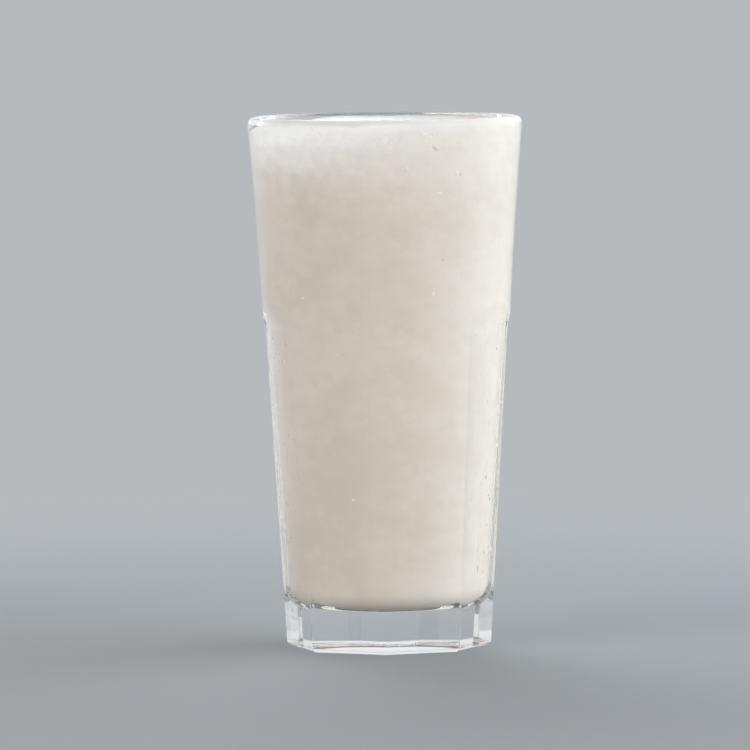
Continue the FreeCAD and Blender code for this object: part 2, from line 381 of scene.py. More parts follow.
# %% [markdown]
# ## Cream colours of the drink
#
# Coconut cream doesn't dissolve in limeade, it hangs in it.  So the drink isn't one flat
# colour: broad clouds drift through it, and in the top finger's width, fine bubbles that are
# still rising make it paler, in level streaks, until it is white froth.  A paler cream is
# painted at the back on the left as painted light from behind, which the glass's left edge
# shows again as a bright line.  The froth's white is painted dimmer towards the right, as
# painted shade against the stronger light there, and a grey band under the lip is painted
# shade.  The drink and the froth share one function for that colour, so no seam shows where
# one piece meets the other.

# %% The colours
CREAM = (0.620, 0.565, 0.506, 1)
CREAM_SHADE = (0.572, 0.514, 0.450, 1)
# Painted light: a paler cream on the back left stands for light from behind the glass.
CREAM_PAINTED_LIGHT = (0.800, 0.765, 0.720, 1)
FROTH_WHITE = (0.921, 0.914, 0.935, 1)
FILM_WHITE = (0.892, 0.886, 0.906, 1)
# Painted shade: a grey band just under the lip.
LIP_SHADE_GREY = (0.680, 0.682, 0.680, 1)
# Painted shade: the froth's open top and its hollows, darker than the froth against the wall.
FROTH_TOP_PAINTED_SHADE = (0.800, 0.788, 0.768, 1)
FROTH_HOLLOW_PAINTED_SHADE = (0.700, 0.675, 0.640, 1)
RISING_DEPTH = 24 * MM
LIP_SHADE_START = 2.4 * MM
LIP_SHADE_FULL = 1.5 * MM
# Painted shade: froth white is dimmed from the left towards the right, where the light is
# stronger.
PAINTED_SHADE_FROM = -34 * MM
PAINTED_SHADE_TO = 32 * MM
FROTH_IN_PAINTED_SHADE = 0.12
# Painted light: which side the paler cream is painted on, and where it starts and is full.
PAINTED_LIGHT_SIDE = (-0.77, 0.64, 0.0)
PAINTED_LIGHT_START = 13 * MM
PAINTED_LIGHT_FULL = 30 * MM
PAINTED_LIGHT_SHARE = 0.6
print(f"the drink turns to froth over {RISING_DEPTH / MM:.0f} mm")


# %% The cream of the drink, with painted light at the back left and painted shade on the right
def froth_share_painted_shade(finish):
    """Painted shade: froth white in full on the left, dimmed to next to none on the right, where
    the light is stronger.
    """
    across = finish.part(finish.place(), "X")
    return 1 - finish.step_up(across, PAINTED_SHADE_FROM, PAINTED_SHADE_TO) * (1 - FROTH_IN_PAINTED_SHADE)


def drifting_cream(finish, blotches, curds):
    """Cream in clouds, blotches and fine curds, with a paler cream painted at the back left as
    painted light.
    """
    clouds = finish.noise(28.0, detail=4.0, stretch=(1, 1, 0.8))
    mixed = finish.step_up(clouds * 0.45 + blotches * 0.27 + curds * 0.28, 0.40, 0.60)
    body = finish.blend(mixed, CREAM_SHADE, CREAM)
    towards = finish.node(
        "ShaderNodeVectorMath", {"operation": "DOT_PRODUCT"}, {0: finish.place(), 1: PAINTED_LIGHT_SIDE},
        out="Value")
    # Painted light: the paler cream on the back left.
    painted_light = finish.step_up(towards, PAINTED_LIGHT_START, PAINTED_LIGHT_FULL) * PAINTED_LIGHT_SHARE
    return finish.blend(painted_light, body, CREAM_PAINTED_LIGHT)


print(f"cream reflects {CREAM[0]:.0%} of red light and {CREAM[2]:.0%} of blue")


# %% The shared colour of drink and froth
def painted_lip_shade(finish, height, blotches):
    """Painted shade: a grey band just under the lip, left off on the brightly lit right side."""
    ragged = height + (blotches - 0.5) * (1.5 * MM)
    near_lip = finish.step_up(ragged, GLASS_HEIGHT - LIP_SHADE_START, GLASS_HEIGHT - LIP_SHADE_FULL)
    right_side = finish.step_up(finish.part(finish.place(), "X"), 10 * MM, 19 * MM)
    return near_lip * (1 - right_side) * 0.9


def cream_colour(finish):
    """Cream below, paler in streaks up to the white froth, a thin film above it, painted shade
    dimming the froth on the right, and a painted grey band under the lip.
    """
    height = finish.part(finish.place(), "Z")
    blotches = finish.noise(90.0, detail=3.0, stretch=(1, 1, 1.4))
    streaks = finish.noise(40.0, detail=3.0, stretch=(1, 1, 6))
    curds = finish.noise(240.0, detail=4.0, stretch=(1, 1, 1.2), roughness=0.6)
    wander = ((streaks - 0.5) * (8 * MM) + (blotches - 0.5) * (4 * MM)
              + (curds - 0.5) * (9 * MM))
    rising = ((height + wander - (CONTACT - RISING_DEPTH)) / RISING_DEPTH).clamped()
    # Painted shade dims the froth white of the rising streaks and of the film towards the right.
    froth_painted_shade = froth_share_painted_shade(finish)
    body = drifting_cream(finish, blotches, curds)
    drink = finish.blend(rising ** 1.8 * froth_painted_shade, body, FROTH_WHITE)
    film = finish.step_up(height + wander * 0.2, CONTACT - 0.8 * MM, CONTACT + 1.4 * MM)
    wall = finish.blend(film * froth_painted_shade, drink, FILM_WHITE)
    # Painted shade: the grey band under the lip.
    return finish.blend(painted_lip_shade(finish, height, blotches), wall, LIP_SHADE_GREY)


# Painted shade: the print gives where the grey band under the lip begins.
print(f"the film's edge starts {LIP_SHADE_START / MM:.1f} mm under the lip")


# %% [markdown]
# ## The limeade
#
# The drink fills the glass, with no air between.  If its mesh only touched the wall, the
# two surfaces would fight over which is in front, and if it stood clear, the gap would show
# as a silver skin.  So it reaches a hair into the wall: a ray through the glass meets cream.
#
# Light inside glass that meets watery drink at more than 63 degrees is thrown back whole,
# which is why a bright clear edge runs down each side of a faceted glass however full it is.
# The finish has that mirror, from the two materials' own indices.

# %% The limeade's shape
def filled_section(bottom_rings=12):
    """Radii and heights of the cavity's rings, from the floor's middle up to the froth."""
    turn = np.linspace(0, math.pi / 2, bottom_rings)
    wall = cavity(FLOOR + FLOOR_CORNER)
    corner_radii = wall - FLOOR_CORNER + FLOOR_CORNER * np.sin(turn)
    corner_heights = FLOOR + FLOOR_CORNER - FLOOR_CORNER * np.cos(turn)
    rise = np.linspace(FLOOR + FLOOR_CORNER, FROTH_BOTTOM, 60)[1:]
    across_floor = np.array([0.4, 0.8]) * corner_radii[0]
    radii = np.concatenate([across_floor, corner_radii, cavity(rise)])
    heights = np.concatenate([[FLOOR, FLOOR], corner_heights, rise])
    return radii, heights


around = np.linspace(0, 2 * math.pi, 256, endpoint=False)
section_radii, section_heights = filled_section()
on_floor = section_heights < FLOOR + 0.5 * MM
section_heights = np.where(on_floor, section_heights - REACH, section_heights)
section_radii = section_radii + REACH
wall_top, height_top = section_radii[-1], section_heights[-1] + 0.6 * MM
section_radii = np.append(section_radii, [wall_top - 0.4 * MM, wall_top * 0.5])
section_heights = np.append(section_heights, [height_top, height_top])
limeade = mesh_of_rings(
    "limeade_body", around, same_all_round(section_radii, around),
    same_all_round(section_heights, around), sharp_from=25)

# %% The limeade's finish
WATER_INDEX = 1.34
GLASS_INDEX = 1.5


def cloudy_limeade():
    """Matt cream against glass, a mirror only where it is met at a grazing angle."""
    finish = Finish("cloudy_limeade")
    cream = finish.node("ShaderNodeBsdfPrincipled", sockets={
        "Base Color": cream_colour(finish),
        "Roughness": 0.6,
        "Specular IOR Level": 0.0,
    })
    mirror = finish.node("ShaderNodeBsdfGlossy", sockets={"Color": (1, 1, 1, 1), "Roughness": 0.0})
    grazing = finish.node("ShaderNodeFresnel", sockets={"IOR": WATER_INDEX / GLASS_INDEX})
    return finish.surface(finish.either(grazing, cream, mirror))


limeade.data.materials.append(cloudy_limeade())
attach(limeade, "root")
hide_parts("limeade")

# %% [markdown]
# ## The froth
#
# Froth is a crowd of bubbles with hardly any liquid between.  Thousands of separate bubbles
# would be slow and add little, because most are finer than a pin's head, so there are three
# sizes: the coarse ones are raised in the mesh, the fine ones are a bump in the finish, and
# the few big clear ones, made further down, are pieces of film.

# %% Where the bubbles sit
random.seed(41)
CLIMB = 1.2 * MM
CLIMB_WIDTH = 6.0 * MM
LEVEL = CONTACT - CLIMB
FROTH_RADIUS = float(cavity(CONTACT))
LIP_START = GLASS_HEIGHT - LIP_INNER


def film_top(angle):
    """How high the froth clings to the wall: nearly to the lip, but low on the left."""
    from_gap = (np.degrees(angle) - 257 + 180) % 360 - 180
    low = np.exp(-((from_gap / 36.0) ** 4))
    ragged = (0.07 * np.sin(5 * angle + 1.3) + 0.05 * np.sin(13 * angle + 0.4)
              + 0.03 * np.sin(29 * angle + 2.0)) * MM
    high = LIP_START - 0.35 * MM
    return high - (high - CONTACT + 0.9 * MM) * low + ragged


def froth_level(inward, top):
    """Height of the froth, level in the middle, climbing near the wall, thin at the wall."""
    climb = CLIMB * np.clip(1 - inward / CLIMB_WIDTH, 0, 1) ** 2
    film = (top - LEVEL - CLIMB) * np.exp(-((inward / (0.5 * MM)) ** 2))
    return LEVEL + climb + film


def scattered_bubbles(count, smallest, largest, power):
    """Bubbles (x, y, radius) over the froth, many small and few large, most near the wall."""
    bubbles = []
    for _ in range(count):
        size = smallest + (largest - smallest) * random.random() ** power
        reach = (FROTH_RADIUS - size) * random.random() ** 0.42
        angle = random.uniform(0, 2 * math.pi)
        bubbles.append((reach * math.sin(angle), -reach * math.cos(angle), size))
    return np.array(bubbles)


coarse = scattered_bubbles(2200, 0.28 * MM, 1.3 * MM, 5.0)
print(f"{len(coarse)} coarse bubbles, the largest {coarse[:, 2].max() / MM:.2f} mm in radius")

# %% The froth's shape
def raised(x, y, bubbles, flatness):
    """How far bubbles lift the surface at each point."""
    lift = np.zeros_like(x)
    for bubble_x, bubble_y, size in bubbles:
        off = (x - bubble_x) ** 2 + (y - bubble_y) ** 2
        dome = np.sqrt(np.maximum(size**2 - off, 0)) * flatness
        lift = np.maximum(lift, dome)
    return lift


froth_around = np.linspace(0, 2 * math.pi, 540, endpoint=False)
top_here = film_top(froth_around)
inward = np.concatenate([
    np.array([0, 0.12, 0.25, 0.4, 0.55, 0.7, 0.9, 1.15, 1.45]) * MM,
    np.linspace(1.8 * MM, FROTH_RADIUS - 0.4 * MM, 82),
])
wall_above = cavity(top_here) + REACH
spoke_radii = wall_above[None, :] - inward[:, None] * (wall_above / FROTH_RADIUS)[None, :]
spoke_x = spoke_radii * np.sin(froth_around)
spoke_y = -spoke_radii * np.cos(froth_around)
away = np.clip((inward[:, None] - 0.5 * MM) / (1.0 * MM), 0, 1)
slow_wave = 0.12 * MM * (np.sin(spoke_x / (6.1 * MM) + 1.0) * np.cos(spoke_y / (7.3 * MM)))
top_heights = (froth_level(inward[:, None], top_here[None, :])
               + (raised(spoke_x, spoke_y, coarse, 0.45) + slow_wave - 0.25 * MM) * away)

climb_shares = np.linspace(0, 1, 16)[:-1]
skirt_heights = FROTH_BOTTOM + (top_here - FROTH_BOTTOM)[None, :] * climb_shares[:, None]
skirt_radii = cavity(skirt_heights) + REACH
froth = mesh_of_rings(
    "froth_head", froth_around,
    np.concatenate([skirt_radii[:1] * 0.5, skirt_radii, spoke_radii]),
    np.concatenate([skirt_heights[:1], skirt_heights, top_heights]), sharp_from=80)

# %% The froth's finish
def fine_froth():
    """White froth: cells in the open top, painted darker there and in hollows as painted shade,
    and a smooth face where it lies against the wall.
    """
    finish = Finish("fine_froth")
    cells = finish.cells(1500.0)
    coarse_cells = finish.cells(620.0)
    lean = (CAVITY_RIM - CAVITY_SHOULDER) / (GLASS_HEIGHT - PANEL_HEIGHT)
    wall = (finish.part(finish.place(), "Z") - PANEL_HEIGHT) * lean + CAVITY_SHOULDER
    open_top = finish.step_up(wall - finish.from_axis(), 0.05 * MM, 0.5 * MM)
    # Painted shade: darker hollows between the coarse cells, and a darker open top.
    hollow_painted_shade = finish.step_up(coarse_cells, 0.30, 0.75)
    top_painted_shade = finish.blend(hollow_painted_shade * 0.6, FROTH_TOP_PAINTED_SHADE, FROTH_HOLLOW_PAINTED_SHADE)
    domes = (1 - cells) * 0.5 + (1 - coarse_cells)
    return finish.surface(finish.node("ShaderNodeBsdfPrincipled", sockets={
        "Base Color": finish.blend(open_top, cream_colour(finish), top_painted_shade),
        "Roughness": open_top * -0.22 + 0.6,
        "Specular IOR Level": 0.3,
        "Normal": finish.bump(domes * open_top, 0.16 * MM),
    }))


froth.data.materials.append(fine_froth())
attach(froth, "root")
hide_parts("froth")

# %% [markdown]
# ## Bubbles, pulp and dew as caps on a wall
#
# Where froth meets glass, bubbles sit against the wall as pale round cells in clusters.
# Crumbs of lime pulp and zest stick there too, and outside, a cold glass gathers dew.  All
# of these are small caps on a wall, so one helper makes them.  They could be painted by a
# finish, but a cap in the mesh keeps a crisp edge close up and bends light as a drop does.
# The helper takes the wall's own shape as a function, so each cap lies on it everywhere.

# %% The inner wall, and the faces of caps
def inner_face(angle, height):
    """The wall that the froth and the crumbs of pulp lie on."""
    return cavity(height) + REACH


def cap_faces(caps, rows, segments):
    """Quads between the rings of every cap; points are numbered cap by cap, ring by ring."""
    faces = []
    for cap in range(caps):
        for row in range(rows - 1):
            start = (cap * rows + row) * segments
            for step in range(segments):
                here, after = start + step, start + (step + 1) % segments
                faces.append([here, here + segments, after + segments, after])
    return faces


def welded(name, points, faces):
    """A mesh whose points that fall together are made one."""
    mesh = bpy.data.meshes.new(name)
    mesh.from_pydata(points, [], faces)
    shape = bmesh.new()
    shape.from_mesh(mesh)
    bmesh.ops.remove_doubles(shape, verts=shape.verts, dist=0.001 * MM)
    shape.to_mesh(mesh)
    shape.free()
    return mesh


print(f"at the froth line the inner wall is {inner_face(0, CONTACT) / MM:.1f} mm from the axis")


# %% The cap helper
def caps_on_wall(name, spots, wall, sunk=0.1 * MM, ragged=0.0, softness=0.5, segments=12):
    """Closed caps; a spot is (angle, height, half width, half height, lean, thickness)."""
    rings = 4
    angle, height, half_width, half_height, lean, thickness = np.array(spots).T[:, :, None, None]
    turn = np.linspace(0, 2 * math.pi, segments, endpoint=False)
    dome = np.sin(np.linspace(0, math.pi / 2, rings + 1))
    share = np.concatenate([dome, [1, 0]])[:, None]
    chance = np.random.default_rng(len(spots))
    lumps = 1 + ragged * chance.uniform(-1, 1, (len(spots), 1, segments))
    along = share * half_width * np.cos(turn) * lumps
    up = share * half_height * np.sin(turn) * lumps
    there = angle + (along * np.cos(lean) - up * np.sin(lean)) / wall(angle, height)
    high = height + along * np.sin(lean) + up * np.cos(lean)
    lift = thickness * (1 - share**2) ** softness
    lift = np.where(np.arange(len(share))[:, None] > rings, -sunk, lift)
    reach = wall(there, high) + lift
    points = np.stack([reach * np.sin(there), -reach * np.cos(there), high], axis=-1)
    faces = cap_faces(len(spots), len(share), segments)
    mesh = welded(name, points.reshape(-1, 3).tolist(), faces)
    return make_piece(name, mesh, sharp_from=60)


print("made caps_on_wall, for froth cells, crumbs and dew")


# %% [markdown]
# ## Froth cells against the wall
#
# Seen through the glass, the froth's lower edge isn't a line: groups of round cells hang in
# the drink just under it, each flattened on the wall.  Single cells scattered evenly would
# look like dots of paint, so they are drawn in clusters, many small and few large.

# %% Clusters of froth cells against the wall
def froth_clusters():
    """Round pale cells in groups; a group's middle is degrees from the front, and mm up."""
    spread = math.radians(2.6)
    random.seed(17)
    middles = [(-40, 155.6), (-18, 155.2), (2, 154.6), (7, 156.4), (20, 156.8), (-29, 157.0)]
    middles += [(random.uniform(84, 306), random.uniform(153.5, 157.2)) for _ in range(24)]
    spots = []
    for compass, height in middles:
        for _ in range(random.randint(7, 14)):
            size = (0.2 + 0.6 * random.random() ** 2.2) * MM
            angle = math.radians(compass) + random.gauss(0, spread)
            high = height * MM + random.gauss(0, 0.7 * MM)
            spots.append((angle, high, size, size, 0, 0.06 * MM))
    return spots


wall_cells = caps_on_wall("froth_cells", froth_clusters(), inner_face)


# %% The finish of the froth cells
def pale_cells():
    """Pale cells, white on the left and dimmed by painted shade towards the right until hardly
    paler than the drink.
    """
    finish = Finish("froth_cell")
    share = finish.step_up(finish.noise(900.0, detail=2.0), 0.35, 0.65)
    white = finish.blend(share, (0.92, 0.915, 0.930, 1), (0.84, 0.83, 0.83, 1))
    return finish.surface(finish.node("ShaderNodeBsdfPrincipled", sockets={
        # Painted shade: the cells' white is dimmed towards the right.
        "Base Color": finish.blend(froth_share_painted_shade(finish), (0.635, 0.61, 0.575, 1), white),
        "Roughness": 0.5,
        "Specular IOR Level": 0.0,
    }))


wall_cells.data.materials.append(pale_cells())
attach(wall_cells, "root")

# %% [markdown]
# ## Clear bubbles standing on the froth
#
# The largest bubbles are domes of film with nothing in them.  As solid glass balls they would
# bend what is behind them, which a film doesn't do, so the finish is a sheet that is all but
# invisible face on and shines at its edge.

# %% Clear bubbles
BUBBLE_RISE = 0.85
BUBBLE_SUNK = 0.3 * MM


def domes_on_froth(name, bubbles, rings=7, segments=18):
    """Thin half bubbles on the level froth, closed below by a flat that the froth hides."""
    turn = np.linspace(0, 2 * math.pi, segments, endpoint=False)
    tilt = np.linspace(0, math.pi / 2, rings)
    points, faces = [], []
    for x, y, size in bubbles:
        start = len(points)
        inward_here = FROTH_RADIUS - math.hypot(x, y)
        base = LEVEL + CLIMB * max(1 - inward_here / CLIMB_WIDTH, 0) ** 2 - BUBBLE_SUNK
        points.append([x, y, base])
        for lean in tilt[::-1]:
            reach = size * max(math.sin(lean), 0.05)
            level = np.full(segments, base + BUBBLE_RISE * size * math.cos(lean))
            ring = [x + reach * np.cos(turn), y + reach * np.sin(turn), level]
            points += np.stack(ring, axis=-1).tolist()
        points.append([x, y, base + BUBBLE_RISE * size])
        for step in range(segments):
            after = (step + 1) % segments
            faces.append([start, start + 1 + after, start + 1 + step])
            for row in range(rings - 1):
                low, high = start + 1 + row * segments, start + 1 + (row + 1) * segments
                faces.append([low + step, low + after, high + after, high + step])
            last = start + 1 + (rings - 1) * segments
            faces.append([last + step, last + after, len(points) - 1])
    mesh = bpy.data.meshes.new(name)
    mesh.from_pydata(points, [], faces)
    return make_piece(name, mesh, sharp_from=70)


random.seed(23)
clear_bubbles = domes_on_froth("clear_bubbles", scattered_bubbles(70, 0.7 * MM, 2.4 * MM, 3.0))


# %% The finish of the clear bubbles
def bubble_film():
    """A film with nothing in it: only its surface is seen, most at the edge."""
    finish = Finish("bubble_film")
    open_air = finish.node("ShaderNodeBsdfTransparent", sockets={"Color": (0.97, 0.97, 0.97, 1)})
    shine = finish.node("ShaderNodeBsdfGlossy", sockets={"Color": (1, 1, 1, 1), "Roughness": 0.05})
    edge = finish.node("ShaderNodeFresnel", sockets={"IOR": 1.33})
    return finish.surface(finish.either(edge, open_air, shine))


clear_bubbles.data.materials.append(bubble_film())
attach(clear_bubbles, "root")

# %% [markdown]
# ## Pulp and zest
#
# Lime pulp and grated zest float in the drink, and only crumbs against the wall show through
# the cloud.  They are torn, not cut, so each cap has a ragged outline and its own lean.  The
# few large ones are listed one by one, and the rest are scattered round the other sides.

# %% Crumbs in the drink
CRUMB_THICKNESS = 0.1 * MM


def crumbs(seed, count, smallest, largest):
    """Crumbs anywhere on the far sides, each with its own lean and shape."""
    random.seed(seed)
    spots = []
    for _ in range(count):
        size = random.uniform(smallest, largest) * MM
        angle = math.radians(random.uniform(62, 298))
        height = random.uniform(24, 150) * MM
        width = size * random.uniform(0.4, 0.8)
        spots.append((angle, height, size, width, random.uniform(0, 3), CRUMB_THICKNESS))
    return spots


def crumb(compass, height, length, width, lean):
    """One crumb: degrees from the front, millimetres, and degrees of lean."""
    size = (length * MM / 2, width * MM / 2)
    return (math.radians(compass), height * MM, *size, math.radians(lean), CRUMB_THICKNESS)


pulp = caps_on_wall("lime_pulp", crumbs(3, 30, 0.25, 0.8) + [
    crumb(36, 145.2, 1.5, 1.1, 30), crumb(47, 145.4, 0.7, 0.5, 0),
    crumb(21.5, 143.3, 0.7, 0.5, 0), crumb(-42, 107.8, 1.6, 1.0, 20),
    crumb(26, 108.9, 1.5, 1.1, 70), crumb(-18, 46.9, 1.4, 0.9, 10),
    crumb(12, 146.6, 1.7, 1.0, 50), crumb(28, 139.0, 1.5, 1.1, 0),
], inner_face, ragged=0.25)
zest = caps_on_wall("lime_zest", crumbs(8, 16, 0.15, 0.5) + [
    crumb(25, 152.6, 2.0, 1.0, -40), crumb(38.4, 144.7, 1.3, 0.9, 60),
    crumb(31, 119.3, 1.1, 0.7, 30), crumb(42, 114.3, 0.7, 0.4, 80),
    crumb(-21, 90.9, 0.8, 0.5, 0),
], inner_face, ragged=0.3)


# %% The finish of the crumbs
def crumb_finish(name, light, dark):
    """Two tones of one colour, in specks."""
    finish = Finish(name)
    share = finish.step_up(finish.noise(1400.0, detail=3.0), 0.35, 0.65)
    return finish.surface(finish.node("ShaderNodeBsdfPrincipled", sockets={
        "Base Color": finish.blend(share, light, dark),
        "Roughness": 0.45,
        "Specular IOR Level": 0.0,
    }))


pulp.data.materials.append(
    crumb_finish("lime_pulp", (0.71, 0.665, 0.60, 1), (0.65, 0.60, 0.53, 1)))
zest.data.materials.append(
    crumb_finish("lime_zest", (0.60, 0.54, 0.43, 1), (0.54, 0.475, 0.365, 1)))
for bits in (pulp, zest):
    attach(bits, "root")

# %% [markdown]
# ## The glass
#
# The rings start in the middle of the hollow under the foot, cross the flat ring that the
# glass stands on, turn the heel, climb the outside, roll over the lip, and go down the
# inside to the middle of the floor.  That is one closed skin, which glass needs: light has
# to enter and leave through a surface that knows which side is solid.

# %% The foot and the outside
def round_rings(radii, heights):
    """Rings that are plain circles, one for each radius and height."""
    return [(np.full(len(directions), r), np.full(len(directions), h))
            for r, h in zip(radii, heights)]


def rings_under_foot():
    """The shallow dome of the recess and the flat ring around it."""
    dome_radius = (RING_INNER**2 + RECESS**2) / (2 * RECESS)
    radii = np.linspace(0.1, 1.0, 14) * RING_INNER
    heights = RECESS - dome_radius + np.sqrt(dome_radius**2 - radii**2)
    return round_rings(radii, heights)


def rings_of_heel():
    """A quarter turn from the foot ring up to the panels."""
    rings = []
    for turn in np.linspace(0, math.pi / 2, 9):
        inset = HEEL_RADIUS * (1 - math.sin(turn))
        height = HEEL_RADIUS * (1 - math.cos(turn))
        rings.append((outline(directions, height, inset), np.full(len(directions), height)))
    return rings


def rings_of_outside():
    """Close together where the cove bends, further apart where the wall is plain."""
    lip_start = GLASS_HEIGHT - LIP_OUTER
    heights = np.concatenate([
        np.linspace(HEEL_RADIUS, 84 * MM, 42)[1:],
        np.linspace(84 * MM, 112 * MM, 48)[1:],
        np.linspace(112 * MM, lip_start, 26)[1:],
    ])
    return [(outline(directions, h), np.full(len(directions), h)) for h in heights]


print(f"the recess is {2 * RING_INNER / MM:.1f} mm across")


# %% The lip and the inside
def rings_of_lip():
    """The outer and inner rounding of the lip, with a narrow flat between."""
    outer_edge = float(round_wall(GLASS_HEIGHT - LIP_OUTER))
    inner_edge = float(cavity(GLASS_HEIGHT - LIP_INNER))
    radii, heights = [], []
    for turn in np.linspace(0.1, math.pi / 2, 10):
        radii.append(outer_edge - LIP_OUTER * (1 - math.cos(turn)))
        heights.append(GLASS_HEIGHT - LIP_OUTER * (1 - math.sin(turn)))
    for turn in np.linspace(math.pi / 2, 0, 9):
        radii.append(inner_edge + LIP_INNER * (1 - math.cos(turn)))
        heights.append(GLASS_HEIGHT - LIP_INNER * (1 - math.sin(turn)))
    return round_rings(radii, heights)


def rings_of_inside():
    """Down the wall, round the inner corner and across the floor."""
    down = np.linspace(GLASS_HEIGHT - LIP_INNER, FLOOR + FLOOR_CORNER, 56)[1:]
    radii = list(cavity(down))
    heights = list(down)
    wall = float(cavity(FLOOR + FLOOR_CORNER))
    for turn in np.linspace(math.pi / 2, 0, 12)[1:]:
        radii.append(wall - FLOOR_CORNER + FLOOR_CORNER * math.sin(turn))
        heights.append(FLOOR + FLOOR_CORNER - FLOOR_CORNER * math.cos(turn))
    for share in (0.75, 0.5, 0.25):
        radii.append((wall - FLOOR_CORNER) * share)
        heights.append(FLOOR)
    return round_rings(radii, heights)


glass_rings = (rings_under_foot() + rings_of_heel() + rings_of_outside()
               + rings_of_lip() + rings_of_inside())
glass = mesh_of_rings(
    "tumbler", directions,
    np.array([ring[0] for ring in glass_rings]),
    np.array([ring[1] for ring in glass_rings]))

# %% [markdown]
# ## Glass that lamps can pass
#
# Clear glass and a drink inside it are slow to light truly: lamps would reach the drink only
# by rays that happen to bend the right way.  So for rays from lamps and for soft light off
# the drink, the glass counts as a clear pane that takes a little light away.  The eye's own
# rays, and mirror and bent ones, meet real glass.

# %% The glass's finish
def clear_glass(name, index, tint, pane):
    """Glass or water that bends what is seen through it and lets lamps through."""
    finish = Finish(name)
    ripple = finish.noise(95.0, detail=1.0)
    clear = finish.node("ShaderNodeBsdfPrincipled", sockets={
        "Base Color": tint,
        "Roughness": 0.0,
        "IOR": index,
        "Transmission Weight": 1.0,
        "Normal": finish.bump(ripple, 0.02 * MM),
    })
    open_pane = finish.node("ShaderNodeBsdfTransparent", sockets={"Color": pane})
    for_soft_light = finish.either(finish.ray("Is Diffuse Ray"), clear, open_pane)
    for_lamps = finish.either(finish.ray("Is Shadow Ray"), for_soft_light, open_pane)
    return finish.surface(for_lamps)


glass.data.materials.append(
    clear_glass("pressed_glass", 1.5, (0.955, 0.97, 0.965, 1), (0.955, 0.96, 0.955, 1)))
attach(glass, "root")
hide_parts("glass")

# %% [markdown]
# ## Dew on the outside
#
# A cold glass draws water from the air.  The drops are finest where they have just formed,
# join as they grow, and run down when they are heavy, each run leaving a wiped track with
# a drop at its foot.  They are thickest low down and at the two sides, which hands and
# napkins touch least.  Each is a cap sunk a little into the glass, so no air is left between.

# %% Where the dew is
TRACK_THICKNESS = 0.022 * MM


def dew_spots():
    """Fine drops, nearly all at the two sides."""
    random.seed(5)
    spots = []
    while len(spots) < 620:
        compass = random.uniform(-180, 180)
        height = random.uniform(8, 100) * MM
        side = math.sin(math.radians(compass - 2)) ** 2
        if random.random() > 0.02 + 0.98 * side**5:
            continue
        size = (0.10 + 0.42 * random.random() ** 3) * MM
        tall = size * random.uniform(1.0, 1.3)
        spots.append((math.radians(compass), height, size, tall, 0, size * 0.35))
    return spots


def dew_runs():
    """Heavy drops (degrees from the front, mm up, mm in half width), and their wet tracks."""
    random.seed(12)
    drops = [(54, 46.2, 0.8), (50, 37.7, 0.6), (67, 24.1, 1.0), (72.6, 52.0, 0.7)]
    drops += [(random.choice([-1, 1]) * random.uniform(64, 150), random.uniform(12, 60),
               random.uniform(0.4, 0.8)) for _ in range(14)]
    feet, tracks = [], []
    for compass, height, size in drops:
        turned, foot, width = math.radians(compass), height * MM, size * MM
        length = random.uniform(5, 16) * MM
        feet.append((turned, foot, width, width * 1.2, 0, width * 0.45))
        if compass > 60 or compass < 0:
            middle = foot + length / 2
            tracks.append((turned, middle, width * 1.1, length / 2, 0, TRACK_THICKNESS))
    return feet, tracks


dew_feet, dew_tracks = dew_runs()
print(len(dew_feet), "heavy drops,", len(dew_tracks), "tracks")

# %% The dew
dew = caps_on_wall("dew", dew_spots() + dew_feet, outline, sunk=0.04 * MM, segments=16)
tracks = caps_on_wall(
    "dew_tracks", dew_tracks, outline, sunk=0.03 * MM, softness=1.6, segments=20)
cold_water = clear_glass("cold_water", 1.33, (1, 1, 1, 1), (0.99, 0.99, 0.99, 1))
for wet in (dew, tracks):
    wet.data.materials.append(cold_water)
    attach(wet, "root")

# %% [markdown]
# ## Floor and backdrop
#
# The floor is a wide disc that bends up all round into a low wall, like a studio's cove, so
# there is no line where the two meet and every side has the same plain background.
# It is a pale grey, a little cooler than the cream, so that the drink reads as warm.  The
# lamps light the paper near the glass, shadow and all, and further off it is given the same
# even tone for the eye and for what glass bends or mirrors, but sheds no light of its own.

# %% The cove
PAPER = (0.29, 0.30, 0.31, 1)
PAPER_SEEN = (0.47, 0.49, 0.51, 1)
WALL_SEEN = (0.88, 0.90, 0.92, 1)


def cove_shape():
    """A disc that bends up into a wall."""
    floor_radius, bend, wall_top = 2.3, 0.7, 2.2
    turn = np.linspace(0, math.pi / 2, 28)
    curve = floor_radius + bend * np.sin(turn)
    radii = np.concatenate([[0.15, 0.5, 1.2], curve, [floor_radius + bend]])
    heights = np.concatenate([[0, 0, 0], bend * (1 - np.cos(turn)), [wall_top]])
    compass = np.linspace(0, 2 * math.pi, 96, endpoint=False)
    return mesh_of_rings(
        "cove", compass, same_all_round(radii, compass), same_all_round(heights, compass),
        close_end=False)


def pale_paper():
    """Paper that the lamps light near the glass, and an even tone further off."""
    finish = Finish("pale_paper")
    paper = finish.node("ShaderNodeBsdfPrincipled", sockets={
        "Base Color": PAPER,
        "Roughness": 0.9,
        "Specular IOR Level": 0.0,
    })
    height = finish.part(finish.place(), "Z")
    tone = finish.blend(finish.step_up(height, 0.165, 0.30), PAPER_SEEN, WALL_SEEN)
    lit_evenly = finish.node("ShaderNodeEmission", sockets={"Color": tone, "Strength": 1.0})
    seen = finish.ray("Is Camera Ray") + finish.ray("Is Glossy Ray")
    seen = (seen + finish.ray("Is Transmission Ray")).clamped()
    far = finish.step_up(finish.from_axis(), 0.16, 0.60)
    return finish.surface(finish.either(far * seen, paper, lit_evenly))


cove = cove_shape()
cove.data.materials.append(pale_paper())

# %% [markdown]
# ## The lamps
#
# Four soft lamps light the drink: a cool key high on the right, one at the front right, a warm
# fill at the left, and one behind, which lights the far side that a faceted glass shows again
# as a bright line at its edge.  They fade towards their edges, as cloth-fronted lamps do, and
# they are kept out of what the glass mirrors or bends, because each would draw its own
# outline there.  Two small ones behind the glass are let in, for sparks on its edges.

# %% A lamp
WHITE = (1.0, 1.0, 1.0, 1)


